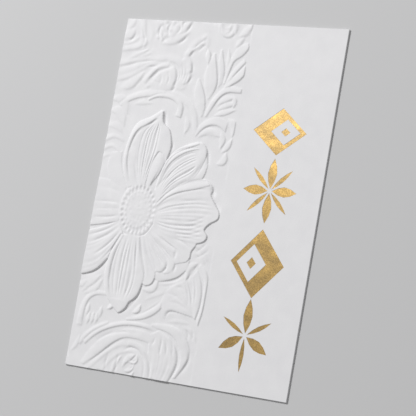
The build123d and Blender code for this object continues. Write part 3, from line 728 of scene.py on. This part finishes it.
    for line, width, depth in (
        ([(27, 38.8), (27.4, 41.4), (28.2, 44)], 1.3, 0.54),
        ([(33, 50.4), (33.4, 52.6), (33.2, 54.6)], 1.1, 0.25),
        ([(12.6, 57), (13.2, 53), (14.6, 49.4), (16.6, 47)], 1.1, 0.25),
        ([(19.6, 45), (21.6, 43.8), (23.6, 42)], 1.1, 0.25),
        ([(12.6, 59), (13.8, 64.4), (16, 70)], 1.0, 0.22),
        ([(12.8, 78.6), (7, 78.4), (0, 78.8)], 0.9, 0.2),
        ([(13, 83.8), (8, 84.8), (0, 85.6)], 0.9, 0.24),
        ([(13.2, 81), (7, 81.4), (0, 82)], 0.9, 0.18),
        ([(13.6, 74.6), (8, 73), (1, 72.6)], 0.9, 0.08),
        ([(13.4, 87.2), (8, 90.4), (0, 93.2)], 0.9, 0.26),
        ([(14.2, 88.4), (9, 92.6), (2, 96)], 1.1, 0.36),
        ([(15.4, 90), (11, 96), (5, 101)], 1.0, 0.32),
        ([(16.4, 91.4), (13.6, 97), (9.4, 102.4)], 0.9, 0.24),
        ([(22, 92), (22.2, 98), (22.6, 106)], 1.0, 0.2),
        ([(19.8, 92), (18.8, 99), (18.6, 108)], 1.0, 0.22),
        ([(24.2, 91.6), (25, 97), (25.8, 104)], 1.0, 0.16),
        ([(40.6, 83.6), (49, 82.8), (55.4, 79.8)], 0.9, 0.2),
        ([(41.6, 85.2), (49, 84.6), (54.8, 82.2)], 0.9, 0.24),
        ([(42.6, 86.8), (49.6, 86.2), (54.4, 84.2)], 0.9, 0.24),
        ([(42.6, 88.4), (49.6, 88), (54.4, 86.2)], 0.9, 0.24),
        ([(43, 89.8), (50, 89.4), (55, 88.2)], 0.8, 0.14),
        ([(31, 79), (36, 76.2), (42, 74.6), (49, 74.4)], 1.1, 0.2),
        ([(31, 80.6), (37, 78.8), (44, 77.8)], 1.0, 0.16),
        ([(31.4, 83), (37, 83), (44, 83.2)], 0.9, 0.12),
        ([(28, 71.4), (33, 66.4), (38, 62)], 1.1, 0.16),
        ([(31.4, 74.6), (37, 69.6), (43, 66.2)], 1.1, 0.16),
        ([(16.4, 60), (17.8, 65), (19.8, 70)], 1.0, 0.22),
        ([(30.4, 57), (31.2, 59.6), (30.8, 62.4)], 0.9, 0.25),
        ([(32, 59), (34.6, 55.8), (38.4, 53.8), (41.8, 52.9)], 1.2, 0.46),
        ([(50.2, 56), (49, 59.6), (47.2, 62.6), (45.2, 65.2)], 1.5, 0.29),
        ([(48.6, 51), (50.6, 53.6), (51.4, 56.4), (51.4, 60)], 1.3, 0.36),
        ([(55.2, 68), (56.4, 69.6), (57, 71.6)], 1.8, 0.6),
        ([(57.2, 72.4), (58.9, 74.6), (60.8, 76.8)], 1.5, 0.3),
        ([(53.2, 94.8), (55.8, 92.8), (57.6, 90.6)], 0.9, 0.2),
        ([(52.8, 97.4), (56.2, 95.8), (59.2, 93.2)], 0.9, 0.18),
        ([(44, 95.4), (44, 97), (44.1, 98.6)], 1.1, 0.36),
        ([(44.7, 100.6), (44.8, 102.2), (44.4, 104)], 1.0, 0.32),
        ([(40.8, 100.8), (40.6, 103), (38.8, 104.9)], 1.2, 0.36),
        ([(50, 103.6), (47, 106.4), (43, 108), (38.6, 108.6)], 1.2, 0.36),
        ([(25.8, 91.4), (28.4, 99.4), (31.4, 107)], 1.1, 0.36),
        ([(17.4, 91.6), (15.2, 98), (14.3, 104), (14.4, 112)], 1.0, 0.25),
        ([(0, 110.2), (5.6, 108.6), (9.6, 105.4), (12, 101)], 1.3, 0.22),
        ([(30.6, 110.6), (30.2, 114), (27.8, 118.4), (25, 121.8), (22.4, 123.8)], 1.2, 0.25),
        ([(27.6, 91), (30.6, 97.4), (34, 102.4), (36.4, 105)], 1.3, 0.36),
        ([(29.8, 89.4), (34.6, 93.8), (39.8, 98.6), (41, 101)], 1.3, 0.34),
        ([(31.4, 88.6), (36.4, 91.4), (41.4, 94), (44, 96)], 1.2, 0.26),
        ([(31, 92.4), (36, 98.6), (39, 102)], 0.9, 0.28),
        ([(54.6, 100.6), (52.5, 103.2), (51.9, 106.6)], 1.2, 0.32),
        ([(33.4, 91.4), (38, 95.2), (42.6, 98.6)], 0.9, 0.26),
        ([(36, 90.6), (40, 93), (45, 95)], 0.8, 0.2),
        ([(42, 90.2), (46, 91.4), (50.6, 93.6)], 0.8, 0.22),
        ([(29.4, 92), (33.4, 98.8), (37, 103.4)], 0.9, 0.18),
    ):
        groove(line, width, depth)


# The flower's eye is a beaded oval rim round a low dome, grained all over like stamens.
# Its heights and depths are shares of the full height, and its reaches are shares of the oval's size.
eye_x = 22.2
eye_y = 80.4
eye_half_width = 8.9
eye_half_length = 10.9
bead_count = 26
inner_bead_count = 22
eye_height = 0.45
bead_height = 0.34
inner_bead_height = 0.26
moat_depth = 0.12
gap_depth = 0.3
dome_height = 0.2
dome_reach = 0.66
grain_size = 0.36
grain_height = 0.05
seat_height = 0.5
seat_reach = 1.1
seat_slope = 0.1
grain_reach = 0.72
grain_slope = 8
eye_reach = 1.05
eye_slope = 0.16


def ring(reach, middle, width):
    """A soft ring round the eye."""
    return np.exp(-((reach - middle) / width) ** 2)


def flower_eye():
    """Presses the eye over the petals' bases."""
    rows, columns = np.mgrid[0:lattice_rows + 1, 0:lattice_columns + 1]
    away_x = (columns * step_across - eye_x) / eye_half_width
    away_y = (rows * step_along - eye_y) / eye_half_length
    reach = np.hypot(away_x, away_y)
    turn = np.arctan2(away_y, away_x)
    bead = 0.5 + 0.5 * np.cos(turn * bead_count)
    height = eye_height + bead_height * bead * ring(reach, middle=0.92, width=0.09)
    height -= moat_depth * ring(reach, middle=0.77, width=0.05)
    height -= gap_depth * (1 - bead) * ring(reach, middle=0.86, width=0.06)
    inner_bead = 0.5 + 0.5 * np.cos(turn * inner_bead_count + 1)
    height += inner_bead_height * inner_bead * ring(reach, middle=0.68, width=0.05)
    height += dome_height * np.sqrt(np.clip(1 - (reach / dome_reach) ** 2, 0, 1))
    grains = np.random.default_rng(4).normal(size=reach.shape)
    grains = blurred(grains, grain_size)
    grains *= grain_height / grains.std()
    height += grains * eased((grain_reach - reach) * grain_slope)
    near = reach < seat_reach
    seat = seat_height * full_height * eased((seat_reach - reach[near]) / seat_slope)
    relief[near] = np.maximum(relief[near], seat)
    over = eased((eye_reach - reach) / eye_slope)
    relief[:] = relief * (1 - over) + full_height * height * over


# The forms are pressed one over another, and each layer's edges are a little softer than the next one's.
# The panel's ground lies a hair under the plain field, is not quite even and ends in a soft step.
scroll_softness = 0.2
leaf_softness = 0.14
flower_softness = 0.12
ground_depth = 0.055
ground_unevenness = 0.018
ground_patch = 0.9
border_width = 0.4
border_slope = 0.6
top_scrolls()
relief = blurred(relief, scroll_softness)
branch()
palmette()
lower_leaves()
great_scroll()
relief = blurred(relief, leaf_softness)
flower_petals()
flower_eye()
relief = blurred(relief, flower_softness)
unevenness = blurred(np.random.default_rng(7).normal(size=relief.shape), ground_patch)
relief += unevenness * ground_unevenness / unevenness.std()
from_border = panel_width - border_width - np.arange(lattice_columns + 1) * step_across
relief = (relief - ground_depth) * eased(from_border / border_slope)

# The mesh follows the relief with few points where it is plain and many where it is fine. The hollows
# of the back are a softer and lower copy of it, and each foil figure has its own sunk bed in the face.
coarsest_block = 8
front_accuracy = 0.021
back_accuracy = 0.02
hollow_share = 0.55
hollow_softness = 0.8
edge_softness = 0.07
foil_gap = 0.05
recess_slope = 0.05
film_tolerance = 0.005
plain_columns = 15
plain_rows = 51
joining_distance = 1e-5
microns = 1000
crease_angle = radians(42)


def places_for(field, accuracy):
    """The lattice places from which a mesh follows the field to an accuracy in millimetres."""
    wanted = np.zeros(field.shape, bool)
    size = coarsest_block
    split = np.ones(((field.shape[0] - 1) // size, (field.shape[1] - 1) // size), bool)
    while True:
        rows, columns = np.nonzero(split)
        for corner in ((0, 0), (0, size), (size, 0), (size, size)):
            wanted[rows * size + corner[0], columns * size + corner[1]] = True
        if size == 1:
            return np.argwhere(wanted)
        span = np.arange(size + 1)
        block_rows = (rows[:, None] * size + span)[:, :, None]
        block_columns = (columns[:, None] * size + span)[:, None, :]
        block = field[block_rows, block_columns]
        down = (span / size)[None, :, None]
        over = (span / size)[None, None, :]
        left = block[:, :1, :1] * (1 - down) + block[:, -1:, :1] * down
        right = block[:, :1, -1:] * (1 - down) + block[:, -1:, -1:] * down
        rough = np.abs(block - left * (1 - over) - right * over).max(axis=(1, 2)) > accuracy
        split = np.zeros((split.shape[0] * 2, split.shape[1] * 2), bool)
        for corner in ((0, 0), (0, 1), (1, 0), (1, 1)):
            split[rows[rough] * 2 + corner[0], columns[rough] * 2 + corner[1]] = True
        size //= 2


def lattice_points(places, field):
    """Lattice places as points in millimetres from the card's top left corner, with the field's height."""
    rows, columns = places[:, 0], places[:, 1]
    return np.stack([columns * step_across, rows * step_along, field[rows, columns]], axis=1)


def foil_outlines(name):
    """The closed outlines of a foil figure's top, each with the foil on its left."""
    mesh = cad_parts[name].data
    top = max(vertex.co.z for vertex in mesh.vertices)
    following = {}
    for face in mesh.polygons:
        corners = list(face.vertices)
        if min(mesh.vertices[i].co.z for i in corners) > top - film_tolerance * millimetre:
            for a, b in zip(corners, corners[1:] + corners[:1]):
                spots = [tuple(np.round(np.array(mesh.vertices[i].co.xy) / millimetre, 4)) for i in (a, b)]
                following[tuple(spots)] = True
    step = {a: b for a, b in following if (b, a) not in following}
    while step:
        start, spot = step.popitem()
        outline = [start]
        while spot != start:
            outline.append(spot)
            spot = step.pop(spot)
        yield np.array(outline)


def moved_out(outline, distance):
    """An outline moved away from the foil that it bounds."""
    ahead = np.roll(outline, -1, axis=0) - outline
    ahead /= np.linalg.norm(ahead, axis=1)[:, None]
    away = np.stack([ahead[:, 1], -ahead[:, 0]], axis=1)
    away = away + np.roll(away, 1, axis=0)
    away /= np.maximum((away ** 2).sum(axis=1), 1)[:, None] / 2
    return outline + away * distance


def triangles(points, loops=()):
    """Triangles that join the points and keep to the closed loops of point numbers."""
    edges = [pair for loop in loops for pair in zip(loop, loop[1:] + loop[:1])]
    flat = [Vector((x, -y)) for x, y in points[:, :2]]
    made = delaunay_2d_cdt(flat, edges, [], 0, joining_distance)
    source = [numbers[0] for numbers in made[3]]
    return [[source[i] for i in face] for face in made[2]]


def on_rim(points):
    """Which points lie on the card's own edge."""
    x, y = points[:, 0], points[:, 1]
    return (x < tiny) | (x > card_width - tiny) | (y < tiny) | (y > card_length - tiny)


def plain_edge():
    """Points along the three edges of the card's plain field, from the panel's top round to its foot."""
    across = np.linspace(panel_width, card_width, plain_columns)[1:]
    along = np.linspace(0, card_length, plain_rows)[1:-1]
    top = [(x, 0, 0) for x in across]
    side = [(card_width, y, 0) for y in along]
    foot = [(x, card_length, 0) for x in across]
    return np.array(top + side + foot)


front = np.concatenate([lattice_points(places_for(relief, front_accuracy), relief), plain_edge()])
rim = front[on_rim(front)]
inward = np.clip(rim[:, :2], edge_softness, (card_width - edge_softness, card_length - edge_softness))
front[on_rim(front), 2] -= edge_softness
front = np.concatenate([front, np.column_stack([inward, rim[:, 2]])])
front = front[np.unique(np.round(front[:, :2] * microns), axis=0, return_index=True)[1]]
loops = []
for name in sorted(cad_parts):
    if name != "card":
        for outline in foil_outlines(name):
            from_left = outline[:, 0] - card_low[0] / millimetre
            from_top = card_high[1] / millimetre - outline[:, 1]
            outline = np.stack([from_left, from_top], axis=1)
            floor_depth = board_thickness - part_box(name)[0].z / millimetre
            for distance, depth in ((foil_gap, floor_depth), (foil_gap + recess_slope, 0)):
                moved = moved_out(outline * (1, -1), distance) * (1, -1)
                loops.append(list(range(len(front), len(front) + len(moved))))
                front = np.concatenate([front, np.column_stack([moved, np.full(len(moved), -depth)])])
front_faces = triangles(front, loops)

hollow = np.maximum(blurred(relief, hollow_softness), 0) * hollow_share
back = lattice_points(places_for(hollow, back_accuracy), hollow)
back = back[~on_rim(back)]
rim_rows = np.rint(rim[:, 1] / step_along).astype(int)
rim_columns = np.clip(np.rint(rim[:, 0] / step_across).astype(int), 0, lattice_columns)
rim_hollow = np.where(rim[:, 0] <= panel_width, hollow[np.clip(rim_rows, 0, lattice_rows), rim_columns], 0)
back = np.concatenate([np.column_stack([rim[:, :2], rim_hollow]), back])
back_faces = triangles(back)

middle = (card_width / 2, card_length / 2)
turned = (1, -1, 1)
corners = np.concatenate([front + (0, 0, board_thickness), back])
corners = (corners - (*middle, 0)) * turned * millimetre
front_rim = {tuple(np.round(front[i, :2], 4)): i for i in np.nonzero(on_rim(front))[0]}
rim_turn = np.arctan2((rim[:, 1] - middle[1]) / card_length, (rim[:, 0] - middle[0]) / card_width)
rim_order = np.argsort(rim_turn)
upper = [front_rim[tuple(np.round(rim[i, :2], 4))] for i in rim_order]
lower = [len(front) + int(i) for i in rim_order]
walls = [(upper[i], upper[i - 1], lower[i - 1], lower[i]) for i in range(len(upper))]
faces = front_faces + [[len(front) + i for i in reversed(face)] for face in back_faces] + walls
card_mesh = bpy.data.meshes.new("embossed_card")
card_mesh.from_pydata(corners.tolist(), [], faces)
card_mesh.shade_smooth()
card_mesh.set_sharp_from_angle(angle=crease_angle)
card = bpy.data.objects.new("embossed_card", card_mesh)
bpy.context.scene.collection.objects.link(card)


def new_finish(name):
    """A new material, with the ways to add its nodes and to join them."""
    material = bpy.data.materials.new(name)
    material.use_nodes = True
    nodes = material.node_tree.nodes

    def add(kind, **values):
        made = nodes.new("ShaderNode" + kind)
        for key, value in values.items():
            if key in made.inputs:
                made.inputs[key].default_value = value
            else:
                setattr(made, key, value)
        return made

    return material, nodes["Principled BSDF"], add, material.node_tree.links.new


# Uncoated cotton board: white, matt, with a fine tooth, short fibres and a faint cloudiness.
board_shade = (0.75, 0.745, 0.762, 1)
board_light = (0.808, 0.803, 0.814, 1)
board, shader, add, join = new_finish("cotton_board")
shader.inputs["Roughness"].default_value = 0.82
shader.inputs["Specular IOR Level"].default_value = 0.25
place = add("TexCoord").outputs["Object"]
cloud = add("TexNoise", Scale=160, Detail=3)
tooth = add("TexNoise", Scale=2600, Detail=4)
fibre_stretch = add("Mapping")
fibre_stretch.inputs["Scale"].default_value = (1, 0.22, 1)
fibre_stretch.inputs["Rotation"].default_value = (0, 0, radians(24))
fibre = add("TexNoise", Scale=2200, Detail=2)
shade = add("ValToRGB")
shade.color_ramp.elements[0].position = 0.3
shade.color_ramp.elements[0].color = board_shade
shade.color_ramp.elements[1].position = 0.7
shade.color_ramp.elements[1].color = board_light
half_cloud = add("Math", operation="MULTIPLY")
half_cloud.inputs[1].default_value = 0.5
mixed = add("Math", operation="MULTIPLY_ADD")
mixed.inputs[1].default_value = 0.5
roughened = add("Math", operation="ADD")
bump = add("Bump", Strength=0.25, Distance=0.00006)
join(place, cloud.inputs["Vector"])
join(place, tooth.inputs["Vector"])
join(place, fibre_stretch.inputs["Vector"])
join(fibre_stretch.outputs["Vector"], fibre.inputs["Vector"])
join(tooth.outputs["Fac"], mixed.inputs[0])
join(cloud.outputs["Fac"], half_cloud.inputs[0])
join(half_cloud.outputs[0], mixed.inputs[2])
join(mixed.outputs[0], shade.inputs["Fac"])
join(shade.outputs["Color"], shader.inputs["Base Color"])
join(tooth.outputs["Fac"], roughened.inputs[0])
join(fibre.outputs["Fac"], roughened.inputs[1])
join(roughened.outputs[0], bump.inputs["Height"])
join(bump.outputs["Normal"], shader.inputs["Normal"])
card_mesh.materials.append(board)
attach(card, "root")
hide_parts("card")


# Four figures of gold foil are hot stamped down the plain field. The film is thinner than the board's
# own tooth, so it shows the tooth as a fine mottling and the board's slow waves as a sheen that comes
# and goes, and it lies a little below the face.
gold_shade = (0.38, 0.22, 0.025, 1)
gold_light = (0.68, 0.43, 0.11, 1)
gold, shader, add, join = new_finish("gold_foil")
shader.inputs["Metallic"].default_value = 1.0
shader.inputs["Coat Weight"].default_value = 1.0
shader.inputs["Coat Roughness"].default_value = 0.27
shader.inputs["Coat IOR"].default_value = 2.05
place = add("TexCoord").outputs["Object"]
mottle = add("TexNoise", Scale=2300, Detail=4, Roughness=0.6)
tone = add("ValToRGB")
tone.color_ramp.elements[0].position = 0.35
tone.color_ramp.elements[0].color = gold_shade
tone.color_ramp.elements[1].position = 0.68
tone.color_ramp.elements[1].color = gold_light
gloss = add("MapRange")
gloss.inputs["To Min"].default_value = 0.27
gloss.inputs["To Max"].default_value = 0.39
wave = add("TexNoise", Scale=130, Detail=1)
swell = add("Bump", Strength=0.45, Distance=0.0006)
bump = add("Bump", Strength=0.3, Distance=0.00006)
join(place, wave.inputs["Vector"])
join(wave.outputs["Fac"], swell.inputs["Height"])
join(swell.outputs["Normal"], bump.inputs["Normal"])
join(place, mottle.inputs["Vector"])
join(mottle.outputs["Fac"], tone.inputs["Fac"])
join(mottle.outputs["Fac"], gloss.inputs["Value"])
join(mottle.outputs["Fac"], bump.inputs["Height"])
join(tone.outputs["Color"], shader.inputs["Base Color"])
join(gloss.outputs["Result"], shader.inputs["Roughness"])
join(bump.outputs["Normal"], shader.inputs["Normal"])
for name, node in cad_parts.items():
    if name != "card":
        node.data.materials.clear()
        node.data.materials.append(gold)


# The card lies on a plain pale floor, a matt flat square far wider than the view, which takes
# the card's soft shadow and is no part of it.
floor_reach = 3.0
floor_colour = (0.58, 0.58, 0.585, 1)
floor_mesh = bpy.data.meshes.new("floor")
floor_corners = [(x * floor_reach, y * floor_reach, 0) for x, y in ((-1, -1), (1, -1), (1, 1), (-1, 1))]
floor_mesh.from_pydata(floor_corners, [], [(0, 1, 2, 3)])
floor = bpy.data.objects.new("floor", floor_mesh)
bpy.context.scene.collection.objects.link(floor)
pale, shader, add, join = new_finish("pale_floor")
shader.inputs["Base Color"].default_value = floor_colour
shader.inputs["Roughness"].default_value = 0.9
shader.inputs["Specular IOR Level"].default_value = 0.1
floor_mesh.materials.append(pale)

# One soft lamp stands off the card's upper left, and the pale room fills its shadows.
lamp_distance = 1.5
lamp_height = radians(46)
lamp_turn = radians(135)
lamp_size = 0.37
lamp_power = 19.2
room_level = 0.33
lamp = bpy.data.lights.new("key_lamp", "AREA")
lamp.energy = lamp_power
lamp.size = lamp_size
key = bpy.data.objects.new("key_lamp", lamp)
bpy.context.scene.collection.objects.link(key)
toward = Vector((cos(lamp_turn) * cos(lamp_height), sin(lamp_turn) * cos(lamp_height), sin(lamp_height)))
key.location = toward * lamp_distance
key.rotation_mode = "QUATERNION"
key.rotation_quaternion = toward.to_track_quat("Z", "Y")
world = bpy.data.worlds.new("pale_room")
world.use_nodes = True
world.node_tree.nodes["Background"].inputs["Color"].default_value = (1.0, 1.0, 1.0, 1)
world.node_tree.nodes["Background"].inputs["Strength"].default_value = room_level
bpy.context.scene.world = world
bpy.context.scene.view_settings.view_transform = "Standard"

# The camera looks down on the card from beyond its right edge, as the photograph does.
camera_data = bpy.data.cameras.new("camera")
camera_data.lens = 152.73
camera_data.sensor_width = 36.0
camera_data.clip_start = 0.01
camera = bpy.data.objects.new("camera", camera_data)
bpy.context.scene.collection.objects.link(camera)
standpoint = Vector((370.04, -74.73, 605.64)) * millimetre
aim = Vector((2.76, -2.48, 0.8)) * millimetre
upward = Vector((-0.0965, 0.9797, 0.1757))
backward = (standpoint - aim).normalized()
rightward = upward.cross(backward).normalized()
upward = backward.cross(rightward)
facing = Matrix((rightward, upward, backward)).transposed().to_4x4()
camera.matrix_world = Matrix.Translation(standpoint) @ facing
bpy.context.scene.camera = camera
